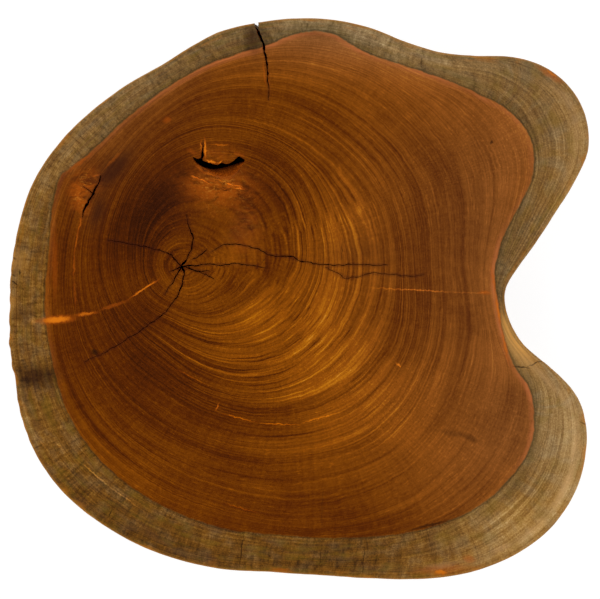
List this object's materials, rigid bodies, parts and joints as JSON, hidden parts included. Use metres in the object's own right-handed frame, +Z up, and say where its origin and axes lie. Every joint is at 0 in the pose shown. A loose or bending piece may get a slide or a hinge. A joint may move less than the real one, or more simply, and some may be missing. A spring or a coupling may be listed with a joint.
{
  "type": "live-edge wooden board",
  "caption": "Live-edge board: one slice sawn across a tree trunk, with heartwood, sapwood, a knot and drying checks, lying flat.",
  "frame": {"origin": "middle of the board's bounding box, on the underside that it rests on", "axes": "+Z up out of the top face, +X along the longer side towards the two lobes with the bay between them"},
  "size_m": [0.4196, 0.4058, 0.036],
  "materials": {
    "wood": "sanded end grain with a satin oil finish, amber-brown heartwood and olive-grey sapwood"
  },
  "bodies": {
    "root": {"wood_slab": "wood"}
  },
  "joints": []
}
